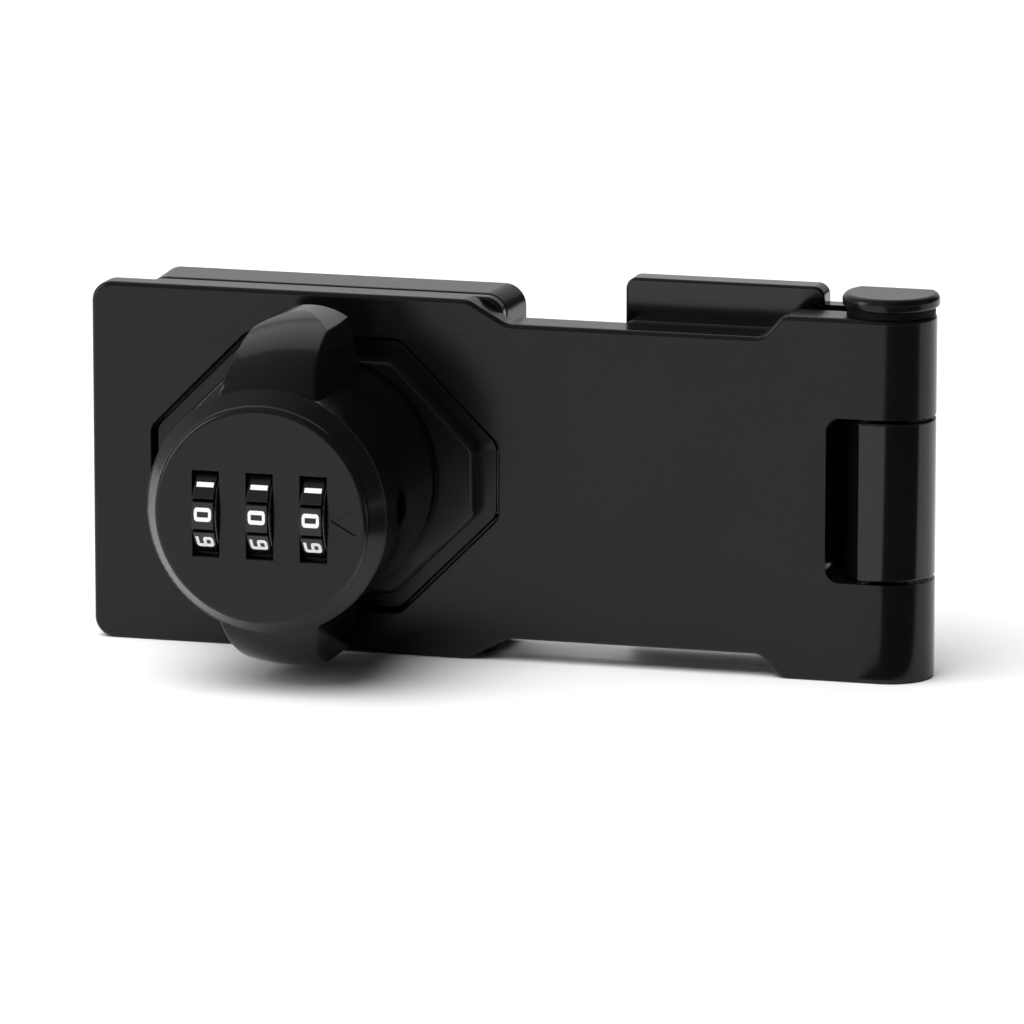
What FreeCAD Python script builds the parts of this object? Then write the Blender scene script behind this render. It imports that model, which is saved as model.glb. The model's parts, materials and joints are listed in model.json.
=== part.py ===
"""Combination hasp lock: a hinged arm closed over a fixed lock base by a turning knob.

Frame, in millimetres: the origin is the centre of the knob's axis on the mounting plane,
+X runs along the arm towards the hinge, +Y points into the surface that the lock is
screwed to, and +Z is up. A depth is a distance in front of the mounting plane, so a
depth of 5 is at Y = -5.
"""
import FreeCAD, Part
import math
import os

Vector = FreeCAD.Vector

# Hasp arm, seen from the front
arm_front = 13.0
arm_left = 32.0
arm_half_height = 24.1
arm_neck_half_height = 21.1
arm_corner = 2.7
neck_slope_start = 19.6
neck_slope_end = 24.9
neck_slope_round = 3.2
tail_slope_start = 59.2
tail_slope_end = 62.0
tail_slope_round = 2.0
arm_thickness = 5.3
arm_thin = 3.2
arm_thin_margin = 0.3
arm_edge_round = 0.6

# Octagonal opening of the arm
opening_half_width = 23.75
opening_half_height = 18.35
opening_cut = 13.4
opening_round = 2.2
opening_edge_round = 0.28

# Hinge
pin_x = 75.1
knuckle_radius = 6.0
window_left = 67.9
window_half_height = 10.95
window_round = 1.9
knuckle_gap = 0.4
pin_radius = 2.6
pin_end_gap = 0.3
bushing_wall = 1.0
bushing_clearance = 0.05
pin_washer_radius = 5.8
pin_washer_thickness = 1.0
pin_head_radius = 6.35
pin_head_thickness = 1.75
pin_head_round = 0.85
pin_head_flat = 3.8
pin_head_corner = 1.0

# Hinge base
leaf_left = 38.5
leaf_right = 65.3
leaf_top = 26.3
leaf_bottom = 22.0
leaf_thickness = 3.3
leaf_corner = 1.5
leaf_edge_round = 0.4
pad_inset = 0.7
pad_half_height = 21.3
pad_gap = 0.7
root_reach = 4.2
root_top = 23.85
root_thickness = 2.6
knuckle_square_left = 3.0
leaf_overlap = 2.0
root_edge_round = 1.25

# Lock base
base_depth = 7.2
base_left = 26.4
base_right_front = 23.4
base_right_back = 24.1
base_half_height = 24.1
base_draft = 0.15
base_corner = 2.9
base_edge_round = 0.6
groove_depth = 0.7
groove_inset = 1.4
plate_thickness = 1.6
plate_right = 23.5
plate_left = 26.1
plate_half_height = 23.9
plate_corner = 2.5
plate_edge_round = 0.4
platform_clearance = 0.38
platform_recess = 1.1
platform_edge_round = 0.22
boss_half_width = 21.05
boss_half_height = 15.6
boss_cut = 11.1
boss_round = 2.0
boss_proud = 1.8
boss_edge_round = 0.6
boss_bore_clearance = 0.5
boss_bore_depth = 1.0

# Screw holes that fasten the two bases
hole_radius = 2.1
countersink_radius = 3.9
base_hole_spacing = 38.0
leaf_hole_spacing_x = 15.0
leaf_hole_spacing_z = 30.0

# Knob barrel and wings
barrel_gap = 0.3
barrel_foot_radius = 15.87
barrel_rim_radius = 16.24
barrel_reach = 24.2
barrel_rim_round = 0.2
wing_tip_radius = 23.45
wing_nose_behind_rim = 0.35
wing_shoulder_behind_rim = 19.6
wing_back_gap = 3.8
wing_spring_radius = 15.0
wing_crown_drop = 0.1
wing_root_half_width = 7.75
wing_root_height = 10.0
wing_end_half_width = 4.7
wing_crown_radius = 9.5
wing_edge_round = 0.4
wing_flare_radius = 2.4
wing_flare_sunk = 0.12
cavity_radius = 13.4
cavity_length = 15.0
stem_radius = 7.0
stem_clearance = 0.05
stem_end = 4.0

# Dial cover
cover_shoulder_radius = 14.45
cover_cone_height = 2.2
cover_step_height = 1.0
cover_round = 0.9
cover_wall = 1.0
window_width = 3.6
window_height = 11.3
window_edge_round = 0.12
arrow_tip = 9.9
arrow_length = 2.9
arrow_half_height = 1.6
arrow_groove = 0.5
arrow_sunk = 0.3

# Number wheels
wheel_pitch = 7.25
wheel_axis_sunk = 5.0
wheel_facets = 10
wheel_apothem = 6.35
wheel_groove = 0.5
wheel_groove_depth = 0.6
wheel_pad_width = 2.9
wheel_pad_round = 0.12
wheel_width = 3.4
wheel_key_reach = 0.75
wheel_key_width = 0.9
wheel_key_length = 0.9
wheel_key_clearance = 0.1

# Spindle, code sleeves and reset plunger
spindle_radius = 1.6
spindle_clearance = 0.05
sleeve_wall = 0.9
sleeve_clearance = 0.05
gate_disc_radius = 3.7
gate_disc_width = 1.4
gate_disc_gap = 0.3
gate_width = 2.2
gate_depth = 1.0
disc_clearance = 0.3
reset_travel = 1.1
sleeve_stub = 0.2
sleeve_key_root = 0.2
plunger_behind_axis = 5.1
plunger_hole_radius = 2.3
plunger_radius = 1.9
plunger_end = 14.4
plunger_arm_left = 12.0
plunger_arm_thickness = 1.0
plunger_arm_half_width = 2.0
plunger_clearance = 0.3
reset_spring_slack = 1.6
reset_spring_turns = 3

# Wheel carrier
carrier_radius = 13.2
carrier_front_gap = 0.2
slot_width = 3.7
slot_reach = 7.1
bar_pocket_clearance = 0.2

# Locking bar
bar_thickness = 2.4
bar_half_width = 1.7
bar_floor_gap = 1.2
bar_end_margin = 0.9
bar_tooth_width = 0.9
bar_tooth_half_width = 0.8
bolt_radius = 1.6
bolt_clearance = 0.05
bolt_notch_depth = 1.3
bolt_side_margin = 0.8
bar_spring_margin = 0.2
bar_spring_floor = 0.6
bar_spring_turns = 3

# Detent spring over the wheels
detent_thickness = 0.4
detent_gap = 0.2
detent_finger_width = 1.6
detent_rise = 1.1
detent_depth_span = 5.0
detent_clamp = 1.6

# Retaining washer, screws, stop and index parts
retainer_radius = 10.6
retainer_thickness = 1.4
retainer_recess_gap = 0.6
retainer_face_gap = 0.2
knob_screw_radius = 2.4
knob_screw_length = 8.0
knob_screw_head_radius = 4.2
knob_screw_head_height = 2.0
driver_socket_radius = 1.3
driver_socket_depth = 1.2
carrier_screw_circle = 9.8
carrier_screw_radius = 1.25
carrier_screw_head_radius = 2.2
carrier_screw_head_height = 1.6
carrier_screw_bite = 3.6
carrier_screw_sunk = 0.4
stop_circle = 13.6
stop_pin_angle = 45.0
stop_pin_radius = 1.0
stop_pin_proud = 1.2
stop_pin_sunk = 4.0
stop_clearance = 0.15
stop_turn = 90.0
index_circle = 8.9
index_ball_radius = 1.4
index_ball_proud = 0.5
index_clearance = 0.05
index_spring_length = 4.0
index_spring_turns = 5
index_groove_depth = 0.7
index_groove_margin = 12.0
spring_wire = 0.32
spring_clearance = 0.1
wire_sides = 6

# Depths that follow from the sizes above
arm_back = arm_front - arm_thickness
arm_thin_back = arm_front - arm_thin
plate_back = base_depth + groove_depth
plate_front = plate_back + plate_thickness
platform_front = arm_front - platform_recess
boss_front = arm_front + boss_proud
bore_floor = boss_front - boss_bore_depth
barrel_foot = bore_floor + barrel_gap
barrel_rim_depth = boss_front + barrel_reach
wing_nose_depth = barrel_rim_depth - wing_nose_behind_rim
wing_shoulder_depth = barrel_rim_depth - wing_shoulder_behind_rim
wing_back_depth = barrel_foot + wing_back_gap
cavity_floor = barrel_rim_depth - cavity_length
cover_shoulder_depth = barrel_rim_depth + cover_cone_height
cover_face_depth = cover_shoulder_depth + cover_step_height
wheel_axis_depth = cover_face_depth - wheel_axis_sunk
plunger_depth = wheel_axis_depth - plunger_behind_axis
pin_depth = arm_front - knuckle_radius
bushing_bore = pin_radius + bushing_clearance
bushing_radius = bushing_bore + bushing_wall
hinge_knuckle_half_height = window_half_height - knuckle_gap
pad_front = arm_back - pad_gap
sleeve_bore = spindle_radius + spindle_clearance
sleeve_radius = sleeve_bore + sleeve_wall
wheel_bore = sleeve_radius + sleeve_clearance
wheel_key_radius = sleeve_radius + wheel_key_reach
gate_disc_right = -(wheel_width / 2 + gate_disc_gap)
gate_disc_left = gate_disc_right - gate_disc_width
disc_bore = gate_disc_radius + disc_clearance
carrier_front = cover_face_depth - cover_wall - carrier_front_gap
bar_back = cavity_floor + bar_floor_gap
bar_front = bar_back + bar_thickness
retainer_back = stem_end - retainer_thickness
recess_floor = stem_end + retainer_face_gap
recess_radius = retainer_radius + retainer_recess_gap
wheel_places = (-wheel_pitch, 0.0, wheel_pitch)
tooth_places = [place + (gate_disc_left + gate_disc_right) / 2 for place in wheel_places]
far = 200.0


def cylinder_y(radius, back, front, x=0.0, z=0.0):
    """Cylinder along Y between two depths."""
    return Part.makeCylinder(radius, front - back, Vector(x, -back, z), Vector(0, -1, 0))


def cylinder_x(radius, left, right, depth, z=0.0):
    return Part.makeCylinder(radius, right - left, Vector(left, -depth, z), Vector(1, 0, 0))


def cylinder_z(radius, bottom, top, x, depth):
    return Part.makeCylinder(radius, top - bottom, Vector(x, -depth, bottom), Vector(0, 0, 1))


def block(left, right, back, front, bottom, top):
    return Part.makeBox(right - left, front - back, top - bottom, Vector(left, -front, bottom))


def rounded_wire(corners, depth):
    """Closed wire in the front view; each corner is (x, z, radius)."""
    count = len(corners)
    joints = []
    for number in range(count):
        x, z, radius = corners[number]
        here = Vector(x, -depth, z)
        if radius <= 0:
            joints.append((here, None, here))
            continue
        before = Vector(corners[number - 1][0], -depth, corners[number - 1][1])
        after = Vector(corners[(number + 1) % count][0], -depth, corners[(number + 1) % count][1])
        back = (before - here).normalize()
        ahead = (after - here).normalize()
        half_angle = back.getAngle(ahead) / 2
        run = radius / math.tan(half_angle)
        middle = (back + ahead).normalize()
        centre = here + middle * (radius / math.sin(half_angle))
        joints.append((here + back * run, centre - middle * radius, here + ahead * run))
    edges = []
    for number in range(count):
        start, through, end = joints[number]
        following = joints[(number + 1) % count][0]
        if through is not None:
            edges.append(Part.Arc(start, through, end).toShape())
        if end.distanceToPoint(following) > 1e-6:
            edges.append(Part.LineSegment(end, following).toShape())
    return Part.Wire(edges)


def prism(corners, back, front):
    face = Part.Face(rounded_wire(corners, back))
    return face.extrude(Vector(0, back - front, 0))


def octagon(half_width, half_height, cut, radius):
    inner_x = half_width - cut
    inner_z = half_height - cut
    return [
        (inner_x, half_height, radius),
        (half_width, inner_z, radius),
        (half_width, -inner_z, radius),
        (inner_x, -half_height, radius),
        (-inner_x, -half_height, radius),
        (-half_width, -inner_z, radius),
        (-half_width, inner_z, radius),
        (-inner_x, half_height, radius),
    ]


def rectangle(left, right, bottom, top, radius):
    return [(left, top, radius), (right, top, radius), (right, bottom, radius), (left, bottom, radius)]


def rounded_edges(shape, radius, chosen):
    """Fillet every edge whose sample points all satisfy the chosen test."""
    edges = []
    for edge in shape.Edges:
        first, last = edge.ParameterRange
        samples = [edge.valueAt(first + (last - first) * step / 4) for step in range(5)]
        if all(chosen(point) for point in samples):
            edges.append(edge)
    return shape.makeFillet(radius, edges)


def at_depth(depth):
    return lambda point: abs(point.y + depth) < 1e-4


def countersunk(shape, x, z, back, front):
    """Screw hole from the mounting side, widened by a cone at the front."""
    hole = cylinder_y(hole_radius, back - 1, front + 1, x, z)
    cone_depth = countersink_radius - hole_radius
    place = Vector(x, cone_depth - front, z)
    cone = Part.makeCone(hole_radius, countersink_radius, cone_depth, place, Vector(0, -1, 0))
    return shape.cut(hole).cut(cone)


def coil(radius, wire, length, turns, start, axis):
    """Compression spring whose ends lie in the planes at start and start + length."""
    run = length - wire
    helix = Part.makeHelix(run / turns, run, radius)
    corners = []
    for number in range(wire_sides):
        angle = math.pi * (2 * number + 1) / wire_sides
        corners.append(Vector(radius + wire / 2 * math.cos(angle), 0, wire / 2 * math.sin(angle)))
    profile = Part.makePolygon(corners + [corners[0]])
    spring = Part.Wire(helix).makePipeShell([profile], True, True)
    spring.translate(Vector(0, 0, wire / 2))
    spring.rotate(Vector(0, 0, 0), Vector(0, 0, 1).cross(axis), math.degrees(Vector(0, 0, 1).getAngle(axis)))
    spring.translate(start)
    return spring


def make_hasp_arm():
    half = arm_half_height
    neck = arm_neck_half_height
    upper = [
        (-arm_left, half, arm_corner),
        (neck_slope_start, half, neck_slope_round),
        (neck_slope_end, neck, neck_slope_round),
        (tail_slope_start, neck, tail_slope_round),
        (tail_slope_end, half, tail_slope_round),
        (pin_x, half, 0.0),
    ]
    lower = [(x, -z, radius) for x, z, radius in reversed(upper)]
    arm = prism(upper + lower, arm_back, arm_front)
    pocket_right = neck_slope_end + arm_thin_margin
    arm = arm.cut(block(-arm_left - 1, pocket_right, arm_back - 1, arm_thin_back, -far, far))
    arm = rounded_edges(arm, arm_edge_round, lambda point: at_depth(arm_front)(point)
                        and (point.x < pin_x - 1e-3 or abs(abs(point.z) - half) < 1e-4))
    knuckle = cylinder_z(knuckle_radius, -half, half, pin_x, pin_depth)
    knuckle = rounded_edges(knuckle, arm_edge_round, lambda point: abs(abs(point.z) - half) < 1e-4)
    arm = arm.fuse(knuckle).removeSplitter()
    high = window_half_height
    window = rectangle(window_left, pin_x + 2 * knuckle_radius, -high, high, window_round)
    arm = arm.cut(prism(window, -1.0, arm_front + 1))
    arm = arm.cut(cylinder_z(pin_radius, -half - 1, half + 1, pin_x, pin_depth))
    hole = octagon(opening_half_width, opening_half_height, opening_cut, opening_round)
    arm = arm.cut(prism(hole, arm_back - 1, arm_front + 1))

    def rim(point):
        inside = abs(point.x) < opening_half_width + 0.1 and abs(point.z) < opening_half_height + 0.1
        return inside and abs(point.y + arm_front) < 1e-4

    return rounded_edges(arm, opening_edge_round, rim)


def make_lock_base():
    back = rectangle(-base_left, base_right_back, -base_half_height, base_half_height, base_corner)
    low = -base_half_height + base_draft
    front = rectangle(base_draft - base_left, base_right_front, low, -low, base_corner)
    base = Part.makeLoft([rounded_wire(back, 0.0), rounded_wire(front, base_depth)], True, True)
    base = rounded_edges(base, base_edge_round, at_depth(base_depth))
    base = base.cut(cylinder_y(stem_radius + stem_clearance, -1, base_depth + 1))
    base = base.cut(cylinder_y(recess_radius, -1, recess_floor))
    for x in (-base_hole_spacing / 2, base_hole_spacing / 2):
        for z in (-base_hole_spacing / 2, base_hole_spacing / 2):
            base = base.cut(cylinder_y(hole_radius, -1, base_depth + 1, x, z))
    return base.cut(index_bore())


def index_bore():
    """Blind bore for the index ball and its spring, open at the retaining washer's recess."""
    end = recess_floor - index_ball_proud + 2 * index_ball_radius + index_spring_length
    return cylinder_y(index_ball_radius + index_clearance, recess_floor - 1, end, 0.0, index_circle)


def stop_pin_place():
    angle = math.radians(stop_pin_angle)
    return stop_circle * math.sin(angle), stop_circle * math.cos(angle)


def make_base_plate():
    outline = rectangle(-plate_left, plate_right, -plate_half_height, plate_half_height, plate_corner)
    plate = prism(outline, plate_back, plate_front)
    plate = rounded_edges(plate, plate_edge_round, at_depth(plate_front))
    inner = rectangle(
        groove_inset - plate_left, plate_right - groove_inset,
        groove_inset - plate_half_height, plate_half_height - groove_inset,
        plate_corner - groove_inset,
    )
    plate = plate.fuse(prism(inner, base_depth, plate_back + 0.1))
    gap = platform_clearance
    shape = octagon(opening_half_width - gap, opening_half_height - gap, opening_cut - gap * 0.6,
                    opening_round)
    platform = rounded_edges(prism(shape, plate_front - 0.2, platform_front), platform_edge_round,
                             at_depth(platform_front))
    shape = octagon(boss_half_width, boss_half_height, boss_cut, boss_round)
    boss = rounded_edges(prism(shape, plate_front - 0.2, boss_front), boss_edge_round, at_depth(boss_front))
    plate = plate.fuse([platform, boss]).removeSplitter()
    plate = plate.cut(cylinder_y(barrel_foot_radius + boss_bore_clearance, bore_floor, boss_front + 1))
    plate = plate.cut(cylinder_y(stem_radius + stem_clearance, base_depth - 1, boss_front + 1))
    for x in (-base_hole_spacing / 2, base_hole_spacing / 2):
        for z in (-base_hole_spacing / 2, base_hole_spacing / 2):
            plate = countersunk(plate, x, z, base_depth, plate_front)
    plate = plate.cut(index_bore())
    plate = plate.cut(cylinder_y(bolt_radius + stop_clearance, bore_floor - bolt_notch_depth, boss_front,
                                 tooth_places[0]))
    x, z = stop_pin_place()
    return plate.cut(cylinder_y(stop_pin_radius, bore_floor - stop_pin_sunk, boss_front, x, z))


def make_stop_pin():
    x, z = stop_pin_place()
    return cylinder_y(stop_pin_radius, bore_floor - stop_pin_sunk, bore_floor + stop_pin_proud, x, z)


def make_index_ball():
    depth = recess_floor - index_ball_proud + index_ball_radius
    return Part.makeSphere(index_ball_radius, Vector(0, -depth, index_circle))


def make_index_spring():
    start = recess_floor - index_ball_proud + 2 * index_ball_radius
    radius = index_ball_radius - spring_clearance - spring_wire / 2
    place = Vector(0, -start, index_circle)
    return coil(radius, spring_wire, index_spring_length, index_spring_turns, place, Vector(0, -1, 0))


def make_hinge_pin():
    bottom = -arm_half_height + pin_end_gap
    head_bottom = arm_half_height + pin_washer_thickness
    head_top = head_bottom + pin_head_thickness
    head = cylinder_z(pin_head_radius, head_bottom, head_top, pin_x, pin_depth)
    flat = pin_depth - pin_head_flat
    head = head.common(block(0, far, flat, far, head_bottom, head_top))
    corner = math.sqrt(pin_head_radius ** 2 - pin_head_flat ** 2)
    head = rounded_edges(head, pin_head_corner, lambda point: at_depth(flat)(point)
                         and abs(abs(point.x - pin_x) - corner) < 1e-4)
    head = rounded_edges(head, pin_head_round, lambda point: abs(point.z - head_top) < 1e-4)
    head = rounded_edges(head, pin_head_round / 2, lambda point: abs(point.z - head_bottom) < 1e-4)
    return head.fuse(cylinder_z(pin_radius, bottom, head_bottom + 0.2, pin_x, pin_depth)).removeSplitter()


def make_pin_washer():
    top = arm_half_height + pin_washer_thickness
    washer = cylinder_z(pin_washer_radius, arm_half_height, top, pin_x, pin_depth)
    return washer.cut(cylinder_z(pin_radius, arm_half_height - 1, top + 1, pin_x, pin_depth))


def make_hinge_base():
    leaf = prism(rectangle(leaf_left, leaf_right, -leaf_bottom, leaf_top, leaf_corner), 0.0, leaf_thickness)
    leaf = rounded_edges(leaf, leaf_edge_round, at_depth(leaf_thickness))
    pad = prism(rectangle(leaf_left + pad_inset, leaf_right - pad_inset, -pad_half_height, pad_half_height,
                          leaf_corner), leaf_thickness - 0.2, pad_front)
    pad = rounded_edges(pad, leaf_edge_round, at_depth(pad_front))
    root_right = leaf_right + root_reach
    root = block(leaf_right - leaf_overlap, root_right, 0.0, root_thickness, -leaf_bottom, root_top)
    root = rounded_edges(root, root_edge_round, lambda point: abs(point.x - root_right) < 1e-4
                         and root_thickness * 0.5 < -point.y)
    half = hinge_knuckle_half_height
    barrel = cylinder_z(knuckle_radius, -half, half, pin_x, pin_depth)
    square = block(pin_x - knuckle_square_left, pin_x, arm_front - 2 * knuckle_radius, arm_front, -half, half)
    web = block(leaf_right - leaf_overlap, pin_x, 0.0, leaf_thickness, -half, half)
    neck = block(pin_x - knuckle_square_left, pin_x, 0.0, arm_front - knuckle_radius, -half, half)
    knuckle = barrel.fuse([square, neck]).removeSplitter()

    def end_edge(point):
        return abs(abs(point.z) - half) < 1e-4 and point.y < -leaf_thickness - 0.5

    def front_edge(point):
        return abs(point.y + arm_front) < 1e-4 and abs(point.x - pin_x + knuckle_square_left) < 1e-4

    knuckle = rounded_edges(knuckle, leaf_edge_round, lambda point: end_edge(point) or front_edge(point))
    base = leaf.fuse([pad, root, web, knuckle]).removeSplitter()
    base = base.cut(cylinder_z(bushing_radius, -half - 1, half + 1, pin_x, pin_depth))
    middle = (leaf_left + leaf_right) / 2
    for x in (middle - leaf_hole_spacing_x / 2, middle + leaf_hole_spacing_x / 2):
        for z in (-leaf_hole_spacing_z / 2, leaf_hole_spacing_z / 2):
            base = countersunk(base, x, z, 0.0, pad_front)
    return base


def make_hinge_bushing():
    half = hinge_knuckle_half_height
    bushing = cylinder_z(bushing_radius, -half, half, pin_x, pin_depth)
    return bushing.cut(cylinder_z(bushing_bore, -half - 1, half + 1, pin_x, pin_depth))


def wing_plan():
    """Front view of the upper wing's sides, flared where they leave the barrel."""
    top = wing_tip_radius + wing_crown_drop
    lean = (wing_root_half_width - wing_end_half_width) / (top - wing_root_height)
    foot = barrel_foot_radius - wing_flare_sunk
    start = wing_root_half_width + lean * wing_root_height
    steep = 1 + lean ** 2
    z = (lean * start + math.sqrt(steep * foot ** 2 - start ** 2)) / steep
    x = start - lean * z
    along = Vector(z, 0, -x).normalize()
    upward = Vector(-lean, 0, 1)
    run = wing_flare_radius / math.tan(along.getAngle(upward) / 2)
    side = [
        (wing_end_half_width, top, 0.0),
        (x, z, wing_flare_radius),
        (x + along.x * run, z + along.z * run, 0.0),
    ]
    return side + [(-x, z, radius) for x, z, radius in reversed(side)]


def make_wing(side):
    """One horn-shaped wing: side is 1 for the upper wing and -1 for the lower."""
    body_radius = wing_tip_radius + wing_crown_drop
    nose = Vector(0, -wing_nose_depth, wing_spring_radius)
    shoulder = Vector(0, -wing_shoulder_depth, body_radius)
    centre = Vector(0, -wing_shoulder_depth, wing_spring_radius)
    arc = Part.ArcOfEllipse(Part.Ellipse(nose, shoulder, centre), 0, math.pi / 2).toShape()
    corners = [shoulder, Vector(0, -wing_back_depth, body_radius), Vector(0, -wing_back_depth, 0),
               Vector(0, -wing_nose_depth, 0), nose]
    lines = [Part.LineSegment(corners[step], corners[step + 1]).toShape() for step in range(4)]
    profile = Part.Face(Part.Wire(Part.__sortEdges__([arc] + lines)))
    body = profile.revolve(Vector(0, 0, 0), Vector(0, 1, 0), 360)
    plan = wing_plan()
    flare_end = plan[2][0]
    crown_height = wing_tip_radius - wing_crown_radius
    crown = cylinder_y(wing_crown_radius, wing_back_depth, wing_nose_depth, 0.0, crown_height)
    below = block(-wing_crown_radius, wing_crown_radius, wing_back_depth, wing_nose_depth, 0.0, crown_height)
    wing = body.common(prism(plan, wing_back_depth, wing_nose_depth)).common(crown.fuse(below))

    def edge(point):
        outside = math.hypot(point.x, point.z) > barrel_foot_radius - wing_flare_sunk
        return outside and abs(point.x) < flare_end - 1e-3

    wing = rounded_edges(wing, wing_edge_round, edge)
    if side < 0:
        wing.rotate(Vector(0, 0, 0), Vector(0, 1, 0), 180)
    return wing


def make_knob_body():
    height = barrel_rim_depth - barrel_foot
    barrel = Part.makeCone(barrel_foot_radius, barrel_rim_radius, height, Vector(0, -barrel_foot, 0),
                           Vector(0, -1, 0))
    barrel = rounded_edges(barrel, barrel_rim_round, at_depth(barrel_rim_depth))
    knob = barrel.fuse([make_wing(1), make_wing(-1)])
    knob = knob.cut(cylinder_y(cavity_radius, cavity_floor, barrel_rim_depth + 1))
    knob = knob.fuse(cylinder_y(stem_radius, stem_end, barrel_foot + 0.5)).removeSplitter()
    knob = knob.cut(cylinder_x(plunger_hole_radius, cavity_radius - 2, barrel_rim_radius + 1, plunger_depth))
    screw_end = stem_end + knob_screw_length
    knob = knob.cut(cylinder_y(knob_screw_radius, stem_end - 1, screw_end))
    bolt_hole = cylinder_y(bolt_radius + bolt_clearance, barrel_foot - 1, cavity_floor + 1, tooth_places[0])
    knob = knob.cut(bolt_hole)
    for z in (-carrier_screw_circle, carrier_screw_circle):
        knob = knob.cut(cylinder_y(carrier_screw_radius, barrel_foot - 1, cavity_floor + 1, 0.0, z))
        head_room = barrel_foot + carrier_screw_head_height + carrier_screw_sunk
        knob = knob.cut(cylinder_y(carrier_screw_head_radius, barrel_foot - 1, head_room, 0.0, z))
    return knob.cut(stop_groove())


def stop_groove():
    """Arc groove in the knob's rear face, as long as the knob's turn."""
    width = stop_pin_radius + stop_clearance
    floor = barrel_foot + stop_pin_proud
    ring = cylinder_y(stop_circle + width, barrel_foot - 1, floor)
    ring = ring.cut(cylinder_y(stop_circle - width, barrel_foot - 2, floor + 1))
    ring = sector_of(ring, stop_pin_angle - stop_turn, stop_turn)
    x, z = stop_pin_place()
    ends = []
    for turn in (0.0, -stop_turn):
        end = cylinder_y(width, barrel_foot - 1, floor, x, z)
        end.rotate(Vector(0, 0, 0), Vector(0, 1, 0), turn)
        ends.append(end)
    return ring.fuse(ends)


def sector_of(shape, start, turn):
    """Part of a shape between two angles, measured clockwise from +Z in the front view."""
    reach = far
    corners = [Vector(0, 1, 0)]
    steps = 3
    for step in range(steps + 1):
        angle = math.radians(start + turn * step / steps)
        corners.append(Vector(reach * math.sin(angle), 1, reach * math.cos(angle)))
    wedge = Part.Face(Part.makePolygon(corners + [corners[0]])).extrude(Vector(0, -far, 0))
    return shape.common(wedge)


def make_dial_cover():
    shoulder = cover_shoulder_radius
    face = cover_face_depth
    bevel = cover_round
    turn = math.sqrt(0.5)
    start = Vector(shoulder - bevel, -face, 0)
    through = Vector(shoulder - bevel + bevel * turn, -(face - bevel + bevel * turn), 0)
    end = Vector(shoulder, -(face - bevel), 0)
    path = [
        end,
        Vector(shoulder, -cover_shoulder_depth, 0),
        Vector(barrel_rim_radius - barrel_rim_round, -barrel_rim_depth, 0),
        Vector(cavity_radius, -barrel_rim_depth, 0),
        Vector(cavity_radius, -(face - cover_wall), 0),
        Vector(0, -(face - cover_wall), 0),
        Vector(0, -face, 0),
        start,
    ]
    edges = [Part.Arc(start, through, end).toShape()]
    for number in range(len(path) - 1):
        edges.append(Part.LineSegment(path[number], path[number + 1]).toShape())
    section = Part.Face(Part.Wire(Part.__sortEdges__(edges)))
    cover = section.revolve(Vector(0, 0, 0), Vector(0, 1, 0), 360)
    for place in wheel_places:
        half = window_width / 2
        cover = cover.cut(block(place - half, place + half, face - cover_wall - 1, face + 1,
                                -window_height / 2, window_height / 2))

    def window_edge(point):
        inside = abs(point.x) < wheel_pitch + window_width and abs(point.z) < window_height / 2 + 1e-3
        return inside and at_depth(face)(point)

    cover = rounded_edges(cover, window_edge_round, window_edge)
    for side in (1, -1):
        angle = math.degrees(math.atan2(side * arrow_half_height, arrow_length))
        length = math.hypot(arrow_length, arrow_half_height)
        groove = block(0, length, face - arrow_sunk, face + 1, -arrow_groove / 2, arrow_groove / 2)
        groove = groove.fuse([cylinder_y(arrow_groove / 2, face - arrow_sunk, face + 1),
                              cylinder_y(arrow_groove / 2, face - arrow_sunk, face + 1, length)])
        groove.rotate(Vector(0, 0, 0), Vector(0, 1, 0), -angle)
        groove.translate(Vector(arrow_tip, 0, 0))
        cover = cover.cut(groove)
    return cover


def make_number_wheel(place):
    half = wheel_width / 2
    pad_half = wheel_pad_width / 2
    tangent = wheel_apothem * math.tan(math.pi / wheel_facets) - wheel_groove / 2
    core = wheel_apothem - wheel_groove_depth
    wheel = cylinder_x(core, place - half, place + half, wheel_axis_depth)
    pads = []
    for number in range(wheel_facets):
        pad = block(place - pad_half, place + pad_half, core - 1, wheel_apothem, -tangent, tangent)
        pad = rounded_edges(pad, wheel_pad_round, at_depth(wheel_apothem))
        pad.rotate(Vector(0, 0, 0), Vector(1, 0, 0), number * 360 / wheel_facets)
        pad.translate(Vector(0, -wheel_axis_depth, 0))
        pads.append(pad)
    wheel = wheel.fuse(pads)
    wheel = wheel.cut(cylinder_x(wheel_bore, place - half - 1, place + half + 1, wheel_axis_depth))
    key_left = half - wheel_key_length - wheel_key_clearance * 2
    relief_radius = wheel_key_radius + wheel_key_clearance
    relief_left = key_left - wheel_key_length - wheel_key_clearance * 2
    relief = cylinder_x(relief_radius, place + relief_left, place + key_left, wheel_axis_depth)
    wheel = wheel.cut(relief)
    notch_half = wheel_key_width / 2 + wheel_key_clearance
    for number in range(wheel_facets):
        notch = block(place + key_left - 0.1, place + half + 1, 0, relief_radius, -notch_half, notch_half)
        notch.rotate(Vector(0, 0, 0), Vector(1, 0, 0), number * 360 / wheel_facets)
        notch.translate(Vector(0, -wheel_axis_depth, 0))
        wheel = wheel.cut(notch)
    return wheel


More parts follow.
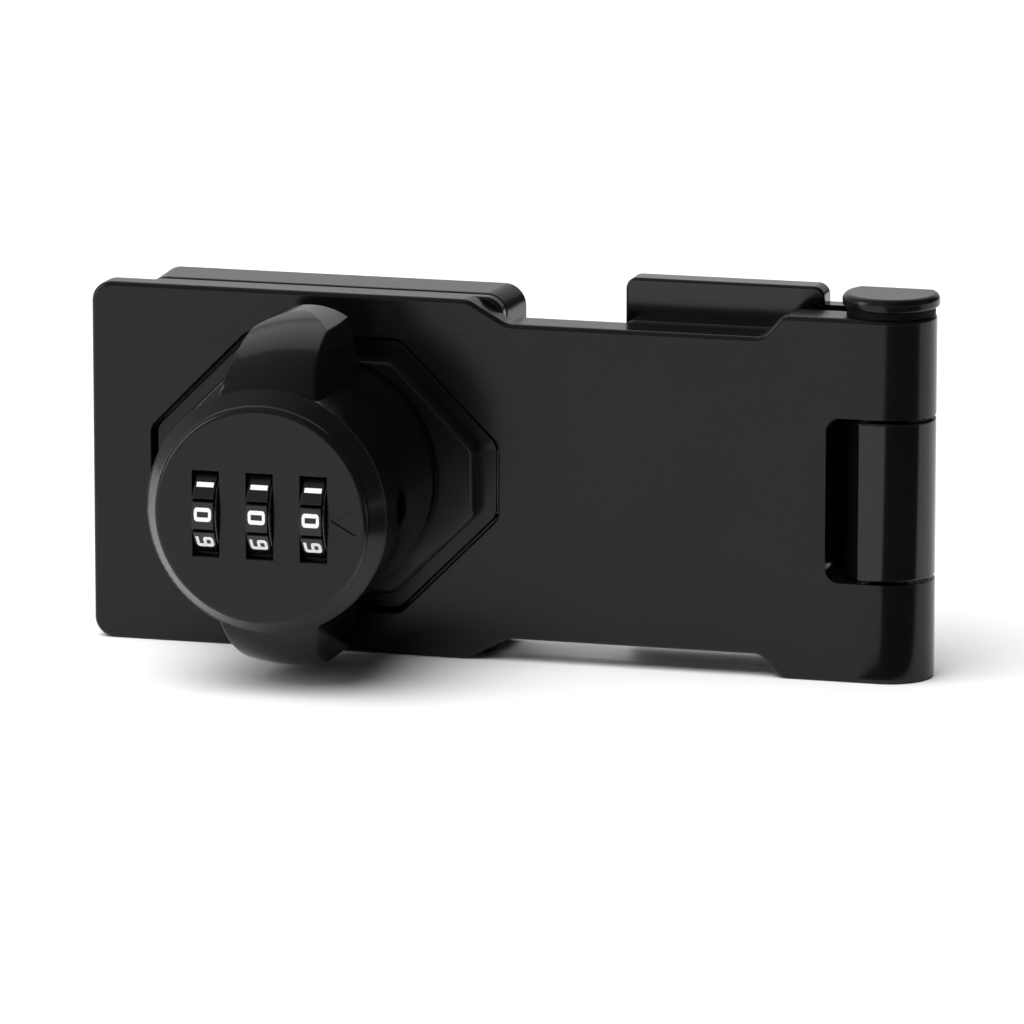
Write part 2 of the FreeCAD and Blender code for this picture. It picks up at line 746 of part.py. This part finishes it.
def make_code_sleeve(place):
    right = wheel_width / 2 - wheel_key_clearance
    left = gate_disc_left - sleeve_stub
    sleeve = cylinder_x(sleeve_radius, place + left, place + right, wheel_axis_depth)
    disc = cylinder_x(gate_disc_radius, place + gate_disc_left, place + gate_disc_right, wheel_axis_depth)
    gate_floor = wheel_axis_depth - gate_disc_radius + gate_depth
    gate = block(place + gate_disc_left - 1, place + gate_disc_right + 1,
                 wheel_axis_depth - gate_disc_radius - 1, gate_floor, -gate_width / 2, gate_width / 2)
    key_foot = wheel_axis_depth + sleeve_bore + sleeve_key_root
    key = block(place + right - wheel_key_length, place + right, key_foot,
                wheel_axis_depth + wheel_key_radius, -wheel_key_width / 2, wheel_key_width / 2)
    sleeve = sleeve.fuse([disc.cut(gate), key]).removeSplitter()
    return sleeve.cut(cylinder_x(sleeve_bore, place + left - 1, place + right + 1, wheel_axis_depth))


def make_reset_plunger():
    left = wheel_places[0] + gate_disc_left - sleeve_stub
    right = plunger_arm_left + plunger_arm_thickness
    spindle = cylinder_x(spindle_radius, left, right, wheel_axis_depth)
    arm = block(plunger_arm_left, right, plunger_depth - plunger_radius, wheel_axis_depth + spindle_radius,
                -plunger_arm_half_width, plunger_arm_half_width)
    button = cylinder_x(plunger_radius, plunger_arm_left, plunger_end, plunger_depth)
    return spindle.fuse([arm, button]).removeSplitter()


def reset_spring_span():
    """Ends of the reset spring, between the carrier's pocket and the plunger's arm."""
    return plunger_arm_left - reset_travel - reset_spring_slack, plunger_arm_left


def make_reset_spring():
    left, right = reset_spring_span()
    radius = plunger_radius - spring_clearance - spring_wire / 2
    start = Vector(left, -plunger_depth, 0)
    return coil(radius, spring_wire, right - left, reset_spring_turns, start, Vector(1, 0, 0))


def make_wheel_carrier():
    carrier = cylinder_y(carrier_radius, cavity_floor, carrier_front)
    slot_back = wheel_axis_depth - slot_reach
    for place in wheel_places:
        carrier = carrier.cut(block(place - slot_width / 2, place + slot_width / 2, slot_back,
                                    carrier_front + 1, -slot_reach, slot_reach))
    bore_left = wheel_places[0] + gate_disc_left - reset_travel - disc_clearance
    carrier = carrier.cut(cylinder_x(disc_bore, bore_left, wheel_places[2], wheel_axis_depth))
    carrier = carrier.cut(cylinder_x(sleeve_radius + disc_clearance, wheel_places[2], far, wheel_axis_depth))
    pocket_left = reset_spring_span()[0]
    side = plunger_arm_half_width + plunger_clearance
    carrier = carrier.cut(block(pocket_left, far, plunger_depth - plunger_radius - plunger_clearance,
                                carrier_front + 1, -side, side))
    gap = bar_pocket_clearance
    bar_left, bar_right = bar_span()
    carrier = carrier.cut(block(bar_left - gap, bar_right + gap, cavity_floor - 1, bar_front + gap,
                                -bar_half_width - gap, bar_half_width + gap))
    for tooth in tooth_places:
        half = bar_tooth_width / 2 + gap
        side = bar_tooth_half_width + gap
        carrier = carrier.cut(block(tooth - half, tooth + half, bar_front, wheel_axis_depth - 1, -side, side))
    for place in wheel_places[:2]:
        carrier = carrier.cut(cylinder_y(bar_half_width - bar_spring_margin, bar_front,
                                         slot_back - bar_spring_floor, place))
    for z in (-carrier_screw_circle, carrier_screw_circle):
        carrier = carrier.cut(cylinder_y(carrier_screw_radius, cavity_floor - 1,
                                         cavity_floor + carrier_screw_bite, 0.0, z))
    low, high, back, front = detent_room()
    reach = wheel_places[2] + slot_width / 2
    return carrier.cut(block(-reach, reach, back - 0.1, far, low, high))


def bar_span():
    return tooth_places[0] - bar_end_margin - bolt_side_margin, tooth_places[2] + bar_end_margin


def make_locking_bar():
    left, right = bar_span()
    bar = block(left, right, bar_back, bar_front, -bar_half_width, bar_half_width)
    tip = wheel_axis_depth - gate_disc_radius - disc_clearance
    teeth = []
    for tooth in tooth_places:
        teeth.append(block(tooth - bar_tooth_width / 2, tooth + bar_tooth_width / 2, bar_front - 0.2, tip,
                           -bar_tooth_half_width, bar_tooth_half_width))
    bolt = cylinder_y(bolt_radius, barrel_foot, bar_back + 0.2, tooth_places[0])
    return bar.fuse(teeth + [bolt]).removeSplitter()


def make_locking_bar_springs():
    radius = bar_half_width - bar_spring_margin - spring_clearance - spring_wire / 2
    top = wheel_axis_depth - slot_reach - bar_spring_floor
    springs = []
    for place in wheel_places[:2]:
        start = Vector(place, -bar_front, 0)
        springs.append(coil(radius, spring_wire, top - bar_front, bar_spring_turns, start, Vector(0, -1, 0)))
    return Part.makeCompound(springs)


def detent_room():
    """Room above the wheels for the detent spring: heights and depths."""
    corner = wheel_apothem / math.cos(math.pi / wheel_facets)
    low = corner + detent_gap
    high = low + detent_rise + detent_thickness
    back = wheel_axis_depth - detent_depth_span / 2
    return low, high, back, back + detent_depth_span


def make_detent_spring():
    low, high, back, front = detent_room()
    reach = wheel_places[2] + slot_width / 2 - 0.1
    sheet = block(-reach, reach, back, back + detent_clamp, high - detent_thickness, high)
    fingers = []
    for place in wheel_places:
        half = detent_finger_width / 2
        run = front - back - detent_clamp
        slope = math.degrees(math.atan2(detent_rise, run))
        finger = block(place - half, place + half, 0.0, math.hypot(run, detent_rise), -detent_thickness, 0.0)
        finger.rotate(Vector(place, 0, 0), Vector(1, 0, 0), slope)
        finger.translate(Vector(0, 0.1 - (back + detent_clamp), high))
        fingers.append(finger)
    spring = sheet.fuse(fingers).removeSplitter()
    return spring.common(block(-far, far, -far, far, low, high))


def make_retaining_washer():
    washer = cylinder_y(retainer_radius, retainer_back, stem_end)
    washer = washer.cut(cylinder_y(knob_screw_radius, -1, stem_end + 1))
    width = index_ball_radius
    ring = cylinder_y(index_circle + width, stem_end - index_groove_depth, stem_end + 1)
    ring = ring.cut(cylinder_y(index_circle - width, stem_end - index_groove_depth - 1, stem_end + 2))
    margin = index_groove_margin
    return washer.cut(sector_of(ring, -stop_turn - margin, stop_turn + 2 * margin))


def make_screw(back, head_height, head_radius, shank_radius, length, x, z):
    """Pan-head screw driven from the mounting side, with a socket in its head."""
    head = cylinder_y(head_radius, back, back + head_height, x, z)
    head = rounded_edges(head, head_height * 0.3, at_depth(back))
    shank = cylinder_y(shank_radius, back + head_height - 0.1, back + head_height + length, x, z)
    socket = cylinder_y(driver_socket_radius, back - 1, back + driver_socket_depth, x, z)
    return head.fuse(shank).removeSplitter().cut(socket)


def make_knob_screw():
    back = retainer_back - knob_screw_head_height
    length = retainer_thickness + knob_screw_length
    return make_screw(back, knob_screw_head_height, knob_screw_head_radius, knob_screw_radius, length,
                      0.0, 0.0)


def make_carrier_screws():
    back = barrel_foot + carrier_screw_sunk
    shoulder = back + carrier_screw_head_height
    length = cavity_floor + carrier_screw_bite - shoulder
    screws = []
    for z in (-carrier_screw_circle, carrier_screw_circle):
        screws.append(make_screw(back, carrier_screw_head_height, carrier_screw_head_radius,
                                 carrier_screw_radius, length, 0.0, z))
    return Part.makeCompound(screws)


def main():
    pieces = {
        "hasp_arm": make_hasp_arm(),
        "lock_base": make_lock_base(),
        "base_plate": make_base_plate(),
        "stop_pin": make_stop_pin(),
        "index_ball": make_index_ball(),
        "index_spring": make_index_spring(),
        "hinge_pin": make_hinge_pin(),
        "pin_washer": make_pin_washer(),
        "hinge_base": make_hinge_base(),
        "hinge_bushing": make_hinge_bushing(),
        "knob_body": make_knob_body(),
        "dial_cover": make_dial_cover(),
        "wheel_carrier": make_wheel_carrier(),
        "locking_bar": make_locking_bar(),
        "locking_bar_springs": make_locking_bar_springs(),
        "detent_spring": make_detent_spring(),
        "retaining_washer": make_retaining_washer(),
        "knob_screw": make_knob_screw(),
        "carrier_screws": make_carrier_screws(),
        "reset_plunger": make_reset_plunger(),
        "reset_spring": make_reset_spring(),
    }
    for name, place in zip(("left", "middle", "right"), wheel_places):
        pieces["number_wheel_" + name] = make_number_wheel(place)
        pieces["code_sleeve_" + name] = make_code_sleeve(place)
    os.makedirs("parts", exist_ok=True)
    for name, shape in pieces.items():
        shape.exportStep("parts/" + name + ".step")
        print(name, "solids", len(shape.Solids), "valid", shape.isValid(), "volume", round(shape.Volume, 1))


main()
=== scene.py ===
import bpy
import bmesh
import json
import math
from mathutils import Matrix, Vector


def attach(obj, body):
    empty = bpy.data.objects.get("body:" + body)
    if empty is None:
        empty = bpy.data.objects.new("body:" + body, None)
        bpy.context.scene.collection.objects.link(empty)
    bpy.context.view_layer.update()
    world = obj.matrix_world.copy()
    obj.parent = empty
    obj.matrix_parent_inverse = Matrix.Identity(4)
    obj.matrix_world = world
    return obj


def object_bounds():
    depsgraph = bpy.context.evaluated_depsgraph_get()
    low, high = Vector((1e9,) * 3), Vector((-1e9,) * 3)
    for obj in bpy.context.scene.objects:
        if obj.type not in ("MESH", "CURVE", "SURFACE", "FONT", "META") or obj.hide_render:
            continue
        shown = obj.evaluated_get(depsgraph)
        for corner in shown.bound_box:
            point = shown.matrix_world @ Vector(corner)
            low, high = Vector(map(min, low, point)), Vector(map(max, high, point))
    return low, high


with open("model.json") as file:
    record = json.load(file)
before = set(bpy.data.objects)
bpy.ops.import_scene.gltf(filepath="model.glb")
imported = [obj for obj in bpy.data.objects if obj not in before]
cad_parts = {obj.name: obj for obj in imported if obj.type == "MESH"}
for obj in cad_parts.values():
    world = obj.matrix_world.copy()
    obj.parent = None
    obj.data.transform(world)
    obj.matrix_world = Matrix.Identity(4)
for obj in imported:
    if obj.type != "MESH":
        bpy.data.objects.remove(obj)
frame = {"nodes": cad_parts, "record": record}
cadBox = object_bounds()
mm = 0.001
print("lock loaded with", len(frame["nodes"]), "parts")


def newMaterial(name):
    material = bpy.data.materials.new(name)
    material.use_nodes = True
    tree = material.node_tree
    tree.nodes.clear()
    output = tree.nodes.new("ShaderNodeOutputMaterial")
    shader = tree.nodes.new("ShaderNodeBsdfPrincipled")
    tree.links.new(shader.outputs["BSDF"], output.inputs["Surface"])
    return material, tree, shader


def noiseOn(tree, scale, detail=2.0, stretch=(1, 1, 1)):
    place = tree.nodes.new("ShaderNodeTexCoord")
    mapping = tree.nodes.new("ShaderNodeMapping")
    mapping.inputs["Scale"].default_value = stretch
    noise = tree.nodes.new("ShaderNodeTexNoise")
    noise.inputs["Scale"].default_value = scale
    noise.inputs["Detail"].default_value = detail
    tree.links.new(place.outputs["Object"], mapping.inputs["Vector"])
    tree.links.new(mapping.outputs["Vector"], noise.inputs["Vector"])
    return noise.outputs["Fac"]


def ringsOn(tree, scale, direction, wander=1.5, detail=3.0):
    place = tree.nodes.new("ShaderNodeTexCoord")
    wave = tree.nodes.new("ShaderNodeTexWave")
    wave.bands_direction = direction
    wave.inputs["Scale"].default_value = scale
    wave.inputs["Distortion"].default_value = wander
    wave.inputs["Detail"].default_value = detail
    tree.links.new(place.outputs["Object"], wave.inputs["Vector"])
    return wave.outputs["Fac"]


def rangeOn(tree, source, low, high, start=0.3, end=0.7):
    fit = tree.nodes.new("ShaderNodeMapRange")
    fit.inputs["From Min"].default_value = start
    fit.inputs["From Max"].default_value = end
    fit.inputs["To Min"].default_value = low
    fit.inputs["To Max"].default_value = high
    tree.links.new(source, fit.inputs["Value"])
    return fit.outputs["Result"]


def colourOn(tree, factor, first, second):
    mix = tree.nodes.new("ShaderNodeMix")
    mix.data_type = "RGBA"
    mix.inputs["A"].default_value = (*first, 1)
    mix.inputs["B"].default_value = (*second, 1)
    tree.links.new(factor, mix.inputs["Factor"])
    return mix.outputs["Result"]


def reliefOn(tree, shader, layers):
    under = None
    for height, strength, depth in layers:
        bump = tree.nodes.new("ShaderNodeBump")
        bump.inputs["Strength"].default_value = strength
        bump.inputs["Distance"].default_value = depth
        tree.links.new(height, bump.inputs["Height"])
        if under:
            tree.links.new(under, bump.inputs["Normal"])
        under = bump.outputs["Normal"]
    tree.links.new(under, shader.inputs["Normal"])


# powder coat: near black, a fine grain over a slow orange peel
satinLook = {
    "dark": (0.0024, 0.0024, 0.0025),
    "light": (0.0038, 0.0038, 0.0040),
    "cloudScale": 70,
    "grainScale": 3600,
    "grainDepth": 0.012 * mm,
    "grainStrength": 0.08,
    "peelScale": 850,
    "peelDepth": 0.02 * mm,
    "peelStrength": 0.07,
    "smooth": 0.16,
    "rough": 0.24,
    "shine": 0.29,
}

# enamel on the knob: a deeper black, smoother and glossier
enamelLook = {
    "dark": (0.0016, 0.0016, 0.0017),
    "light": (0.0026, 0.0026, 0.0027),
    "cloudScale": 70,
    "grainScale": 3600,
    "grainDepth": 0.012 * mm,
    "grainStrength": 0.004,
    "peelScale": 450,
    "peelDepth": 0.02 * mm,
    "peelStrength": 0.03,
    "smooth": 0.14,
    "rough": 0.16,
    "shine": 0.29,
}

# the hinge leaf has the most shine
leafLook = dict(enamelLook, smooth=0.12, rough=0.17, shine=0.44)

# blackened steel of the reset plunger
blackSteelLook = dict(enamelLook, smooth=0.18, rough=0.30, shine=0.7, peelStrength=0.02)

# moulded plastics: wheels, wheel carrier, and the black washer under the pin's head, whose colour is
# made darker still as painted shade from the head above it
wheelLook = dict(satinLook, grainScale=5200, smooth=0.20, rough=0.28, shine=0.45, peelStrength=0.02)
carrierLook = dict(wheelLook, dark=(0.026, 0.026, 0.028), light=(0.034, 0.034, 0.036), smooth=0.42,
                   rough=0.55)
washerShadeLook = dict(wheelLook, dark=(0.0020, 0.0020, 0.0021), light=(0.0032, 0.0032, 0.0033),
                  smooth=0.60, rough=0.72, shine=0.12)


def coatMaterial(name, look):
    material, tree, shader = newMaterial(name)
    cloud = noiseOn(tree, look["cloudScale"], detail=4.0)
    grain = noiseOn(tree, look["grainScale"], detail=2.0)
    peel = noiseOn(tree, look["peelScale"], detail=1.0)
    colour = colourOn(tree, rangeOn(tree, cloud, 0, 1), look["dark"], look["light"])
    tree.links.new(colour, shader.inputs["Base Color"])
    tree.links.new(rangeOn(tree, grain, look["smooth"], look["rough"]), shader.inputs["Roughness"])
    shader.inputs["Specular IOR Level"].default_value = look["shine"]
    reliefOn(tree, shader, ((peel, look["peelStrength"], look["peelDepth"]),
                            (grain, look["grainStrength"], look["grainDepth"])))
    return material


# bare metals: plated screws and pins, spring wire, turned brass
platedLook = {
    "dark": (0.50, 0.50, 0.51),
    "light": (0.60, 0.60, 0.61),
    "smooth": 0.22,
    "rough": 0.40,
    "scratchScale": 900,
    "scratchStrength": 0.12,
    "scratchDepth": 0.01 * mm,
    "stretch": (1, 1, 0.12),
    "ringScale": 0,          # no turning rings
}
springLook = dict(platedLook, dark=(0.36, 0.36, 0.38), light=(0.46, 0.46, 0.48), stretch=(1, 1, 1),
                  scratchScale=1600)
brassLook = dict(platedLook, dark=(0.62, 0.44, 0.18), light=(0.78, 0.60, 0.30), stretch=(1, 1, 1),
                 ringScale=1500, direction="X", ringStrength=0.25, ringDepth=0.01 * mm)


def metalMaterial(name, look):
    material, tree, shader = newMaterial(name)
    scratch = noiseOn(tree, look["scratchScale"], detail=4.0, stretch=look["stretch"])
    colour = colourOn(tree, rangeOn(tree, scratch, 0, 1), look["dark"], look["light"])
    tree.links.new(colour, shader.inputs["Base Color"])
    tree.links.new(rangeOn(tree, scratch, look["smooth"], look["rough"]), shader.inputs["Roughness"])
    shader.inputs["Metallic"].default_value = 1.0
    layers = [(scratch, look["scratchStrength"], look["scratchDepth"])]
    if look["ringScale"]:
        rings = ringsOn(tree, look["ringScale"], look["direction"])
        layers.append((rings, look["ringStrength"], look["ringDepth"]))
    reliefOn(tree, shader, layers)
    return material


# white ink of the numerals
inkLook = {
    "thin": (0.80, 0.80, 0.79),
    "full": (0.90, 0.90, 0.89),
    "blotScale": 1500,
    "blotStrength": 0.1,
    "blotDepth": 0.005 * mm,
    "smooth": 0.45,
    "rough": 0.60,
}


def inkMaterial(name, look):
    material, tree, shader = newMaterial(name)
    blots = noiseOn(tree, look["blotScale"], detail=3.0)
    colour = colourOn(tree, rangeOn(tree, blots, 0, 1), look["thin"], look["full"])
    tree.links.new(colour, shader.inputs["Base Color"])
    tree.links.new(rangeOn(tree, blots, look["smooth"], look["rough"]), shader.inputs["Roughness"])
    reliefOn(tree, shader, ((blots, look["blotStrength"], look["blotDepth"]),))
    return material


finishes = {
    "satin_coat": coatMaterial("satin powder coat", satinLook),
    "gloss_coat": coatMaterial("smooth enamel", enamelLook),
    "wheel_plastic": coatMaterial("moulded wheel plastic", wheelLook),
    "carrier_plastic": coatMaterial("moulded carrier plastic", carrierLook),
    "steel": metalMaterial("plated steel", platedLook),
    "black_steel": coatMaterial("blackened steel", blackSteelLook),
    "spring_steel": metalMaterial("spring wire", springLook),
    "brass": metalMaterial("turned brass", brassLook),
}
ownFinish = {
    # black washer, its colour darkened further as painted shade under the pin's head
    "pin_washer": coatMaterial("washer plastic with painted shade", washerShadeLook),
    "hinge_base": coatMaterial("glossy leaf enamel", leafLook),
}
print("finishes ready:", len(finishes) + len(ownFinish))

# each part keeps its shape, its curved faces shade smooth and its flat faces flat
smoothing = {
    "merge": 0.0005 * mm,
    "sharpAngle": math.radians(30),
}
for row in frame["record"]["subparts"]:
    node = frame["nodes"][row["node"]]
    node.data.materials.clear()
    node.data.materials.append(ownFinish.get(row["node"], finishes[row["material_slot"]]))
    node.data.shade_smooth()
    weld = node.modifiers.new("weld", "WELD")
    weld.merge_threshold = smoothing["merge"]
    split = node.modifiers.new("split", "EDGE_SPLIT")
    split.split_angle = smoothing["sharpAngle"]
    even = node.modifiers.new("even shading", "WEIGHTED_NORMAL")
    even.keep_sharp = True
print("parts finished")


# number wheels: numerals printed on the ten facets, and a thin collar at the right of the facets
wheels = {
    "places": {"left": -7.25 * mm, "middle": 0.0, "right": 7.25 * mm},
    "axisDepth": 37.2 * mm,
    "apothem": 6.35 * mm,
    "facets": 10,
}
numeral = {
    "width": 1.10 * mm,      # between the stroke's centre lines, before the stretch
    "height": 2.30 * mm,
    "stroke": 0.47 * mm,
    "oneStroke": 0.58 * mm,
    "corner": 0.24 * mm,
    "cornerSteps": 5,
    "wide": 1.17,
    "tall": 0.83,
    "ink": 0.02 * mm,
    "sunk": 0.01 * mm,
    "aside": -0.15 * mm,     # the numerals are printed a little off the middle of their facets
}
collar = {
    "radius": 6.2 * mm,
    "bore": 5.4 * mm,
    "left": 1.56 * mm,
    "right": 1.74 * mm,
    "round": 0.05 * mm,
    "roundSteps": 3,
    "turnSteps": 96,
}


def numeralPaths(figure, look):
    right = look["width"] / 2
    top = look["height"] / 2
    left, bottom, end = -right, -top, look["stroke"] / 2
    ring = [(left, bottom), (right, bottom), (right, top), (left, top), (left, bottom)]
    paths = {
        0: [ring],
        1: [[(0, bottom - end), (0, top + end)]],
        2: [[(left - end, top), (right, top), (right, 0), (left, 0), (left, bottom),
             (right + end, bottom)]],
        3: [[(left - end, top), (right, top), (right, bottom), (left - end, bottom)],
            [(left, 0), (right - end, 0)]],
        4: [[(left, top + end), (left, 0), (right - end, 0)],
            [(right, top + end), (right, bottom - end)]],
        5: [[(right + end, top), (left, top), (left, 0), (right, 0), (right, bottom),
             (left - end, bottom)]],
        6: [[(right + end, top), (left, top), (left, bottom), (right, bottom), (right, 0),
             (left + end, 0)]],
        7: [[(left - end, top), (right, top), (left + end, bottom - end)]],
        8: [ring, [(left + end, 0), (right - end, 0)]],
        9: [[(left - end, bottom), (right, bottom), (right, top), (left, top), (left, 0),
             (right - end, 0)]],
    }
    return paths[figure]


def numeralMesh(figure, look):
    shape = bmesh.new()
    for path in numeralPaths(figure, look):
        closed = path[0] == path[-1]
        points = [shape.verts.new((x, y, 0)) for x, y in (path[:-1] if closed else path)]
        for first, second in zip(points, points[1:]):
            shape.edges.new((first, second))
        if closed:
            shape.edges.new((points[-1], points[0]))
    corners = [vert for vert in shape.verts if len(vert.link_edges) == 2]
    if corners:
        bmesh.ops.bevel(shape, geom=corners, offset=look["corner"], segments=look["cornerSteps"],
                        profile=0.5, affect="VERTICES", material=-1)
    raised = bmesh.ops.extrude_edge_only(shape, edges=shape.edges[:])["geom"]
    lifted = [item for item in raised if isinstance(item, bmesh.types.BMVert)]
    bmesh.ops.translate(shape, verts=lifted, vec=(0, 0, look["ink"] + look["sunk"]))
    bmesh.ops.recalc_face_normals(shape, faces=shape.faces[:])
    mesh = bpy.data.meshes.new("numeral")
    shape.to_mesh(mesh)
    shape.free()
    brush = bpy.data.objects.new("numeral", mesh)
    bpy.context.scene.collection.objects.link(brush)
    thicken = brush.modifiers.new("stroke", "SOLIDIFY")
    thicken.thickness = look["oneStroke"] if figure == 1 else look["stroke"]
    thicken.offset = 0
    thicken.use_even_offset = True
    finished = brush.evaluated_get(bpy.context.evaluated_depsgraph_get())
    stroke = bpy.data.meshes.new_from_object(finished)
    bpy.data.objects.remove(brush)
    return stroke


def facetPlace(number, wheelPlace):
    # the tops of the numerals point along the wheel's axis
    upright = Matrix(((0, 1, 0, 0), (0, 0, -1, 0), (-1, 0, 0, 0), (0, 0, 0, 1)))
    stretch = Matrix.Diagonal((numeral["wide"], numeral["tall"], 1, 1))
    onFacet = Matrix.Translation((numeral["aside"], 0, wheels["apothem"] - numeral["sunk"]))
    turn = Matrix.Rotation(-number * math.tau / wheels["facets"], 4, "X")
    home = Matrix.Translation((wheelPlace, -wheels["axisDepth"], 0))
    return home @ turn @ upright @ onFacet @ stretch


def newPiece(name, shape, material, body):
    mesh = bpy.data.meshes.new(name)
    shape.to_mesh(mesh)
    shape.free()
    mesh.materials.append(material)
    piece = bpy.data.objects.new(name, mesh)
    bpy.context.scene.collection.objects.link(piece)
    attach(piece, body)
    return piece


def makeNumerals(side, wheelPlace, ink, strokes):
    shape = bmesh.new()
    for number, stroke in enumerate(strokes):
        placed = stroke.copy()
        placed.transform(facetPlace(number, wheelPlace))
        shape.from_mesh(placed)
        bpy.data.meshes.remove(placed)
    bmesh.ops.recalc_face_normals(shape, faces=shape.faces[:])
    newPiece("numerals_" + side, shape, ink, "wheel_" + side)


def makeCollar(side, wheelPlace, material):
    shape = bmesh.new()
    inner = [(collar["left"], collar["bore"]), (collar["right"], collar["bore"])]
    outer = [(collar["right"], collar["radius"]), (collar["left"], collar["radius"])]
    section = [shape.verts.new((wheelPlace + x, -wheels["axisDepth"], z)) for x, z in inner + outer]
    for pair in zip(section, section[1:] + section[:1]):
        shape.edges.new(pair)
    bmesh.ops.bevel(shape, geom=section[len(inner):], offset=collar["round"],
                    segments=collar["roundSteps"], profile=0.5, affect="VERTICES", material=-1)
    bmesh.ops.spin(shape, geom=shape.verts[:] + shape.edges[:],
                   cent=(wheelPlace, -wheels["axisDepth"], 0), axis=(1, 0, 0), angle=math.tau,
                   steps=collar["turnSteps"], use_merge=True, use_duplicate=False)
    bmesh.ops.remove_doubles(shape, verts=shape.verts[:], dist=smoothing["merge"])
    bmesh.ops.recalc_face_normals(shape, faces=shape.faces[:])
    for face in shape.faces:
        face.smooth = True
    piece = newPiece("wheel_collar_" + side, shape, material, "wheel_" + side)
    split = piece.modifiers.new("split", "EDGE_SPLIT")
    split.split_angle = smoothing["sharpAngle"]


ink = inkMaterial("numeral ink", inkLook)
strokes = [numeralMesh(figure, numeral) for figure in range(wheels["facets"])]
for side, wheelPlace in wheels["places"].items():
    makeNumerals(side, wheelPlace, ink, strokes)
    makeCollar(side, wheelPlace, finishes["black_steel"])
print("numerals and collars on the wheels")

# camera of the photograph
viewpoint = {
    "target": Vector((25.71, -13.0, -3.91)) * mm,
    "direction": Vector((0.2596, -0.9429, 0.2088)),
    "distance": 1192.4 * mm,
    "lens": 319.6,
    "sensor": 36,
    "near": 0.05,
    "far": 20,
}
camera = bpy.data.objects.new("camera", bpy.data.cameras.new("camera"))
bpy.context.scene.collection.objects.link(camera)
camera.location = viewpoint["target"] + viewpoint["direction"] * viewpoint["distance"]
camera.rotation_mode = "QUATERNION"
camera.rotation_quaternion = (-viewpoint["direction"]).to_track_quat("-Z", "Y")
camera.data.lens = viewpoint["lens"]
camera.data.sensor_width = viewpoint["sensor"]
camera.data.clip_start = viewpoint["near"]
camera.data.clip_end = viewpoint["far"]
bpy.context.scene.camera = camera

# white table under the lock, and a black card at the right that only the reflections see
table = {
    "low": (-6.0, -6.0),
    "high": (6.0, 6.0),
    "lift": 0,
    "colour": (0.88, 0.88, 0.88, 1),
    "rough": 0.7,
    "shine": 0.1,
}
blackCard = {
    "low": (0.072, -0.60),
    "high": (0.70, -0.015),
    "lift": 0.05 * mm,
    "colour": (0.05, 0.05, 0.05, 1),
    "rough": 0.7,
    "shine": 0.1,
}


def makeSheet(name, look):
    (left, front), (right, back) = look["low"], look["high"]
    shape = bmesh.new()
    bmesh.ops.create_grid(shape, x_segments=1, y_segments=1, size=0.5)
    bmesh.ops.scale(shape, vec=(right - left, back - front, 1), verts=shape.verts[:])
    mesh = bpy.data.meshes.new(name)
    shape.to_mesh(mesh)
    shape.free()
    sheet = bpy.data.objects.new(name, mesh)
    sheet.location = ((left + right) / 2, (front + back) / 2, cadBox[0].z + look["lift"])
    bpy.context.scene.collection.objects.link(sheet)
    material, tree, shader = newMaterial(name)
    shader.inputs["Base Color"].default_value = look["colour"]
    shader.inputs["Roughness"].default_value = look["rough"]
    shader.inputs["Specular IOR Level"].default_value = look["shine"]
    mesh.materials.append(material)
    return sheet


makeSheet("table", table)
card = makeSheet("black_card", blackCard)
card.visible_camera = False
card.visible_diffuse = False
card.visible_shadow = False

# studio: boxes behind, above and at the left, a narrow one at the far right,
# and soft daylight from overhead that lights the table evenly but makes no shine
boxes = {
    "behind": {"place": (-0.15, 0.95, 0.34), "size": (1.3, 0.42), "power": 0.65},
    "above": {"place": (-0.10, 0.55, 0.70), "size": (1.0, 0.5), "power": 0.9},
    "left": {"place": (-0.75, -0.45, 0.30), "size": (0.35, 0.6), "power": 2.2},
    "right": {"place": (0.80, 0.10, 0.22), "size": (0.22, 0.6), "power": 0.06},
}
daylight = {
    "place": (-0.15, -0.40, 1.10),
    "spread": math.radians(55),
    "strength": 3.35,
}
# the room is lighter at the left, between these two directions along X
room = {
    "left": 0.45,
    "right": 0.05,
    "from": -0.4,
    "to": 0.35,
}


def newLight(name, kind, place):
    light = bpy.data.objects.new(name, bpy.data.lights.new(name, kind))
    light.visible_camera = False
    light.location = place
    light.rotation_mode = "QUATERNION"
    light.rotation_quaternion = (viewpoint["target"] - light.location).to_track_quat("-Z", "Y")
    bpy.context.scene.collection.objects.link(light)
    return light


def makeBox(name, look):
    light = newLight("box " + name, "AREA", look["place"])
    light.data.shape = "RECTANGLE"
    light.data.size, light.data.size_y = look["size"]
    light.data.energy = look["power"]


def makeDaylight(look):
    light = newLight("daylight", "SUN", look["place"])
    light.data.angle = look["spread"]
    light.data.energy = look["strength"]
    light.visible_glossy = False


def makeRoom(look):
    world = bpy.data.worlds.new("room")
    bpy.context.scene.world = world
    world.use_nodes = True
    tree = world.node_tree
    tree.nodes.clear()
    direction = tree.nodes.new("ShaderNodeTexCoord")
    split = tree.nodes.new("ShaderNodeSeparateXYZ")
    tree.links.new(direction.outputs["Generated"], split.inputs["Vector"])
    background = tree.nodes.new("ShaderNodeBackground")
    background.inputs["Color"].default_value = (1, 1, 1, 1)
    level = rangeOn(tree, split.outputs["X"], look["left"], look["right"], look["from"], look["to"])
    tree.links.new(level, background.inputs["Strength"])
    surround = tree.nodes.new("ShaderNodeOutputWorld")
    tree.links.new(background.outputs["Background"], surround.inputs["Surface"])


for name, look in boxes.items():
    makeBox(name, look)
makeDaylight(daylight)
makeRoom(room)
print("camera, table and lights set")

bpy.context.scene.view_settings.view_transform = "Standard"
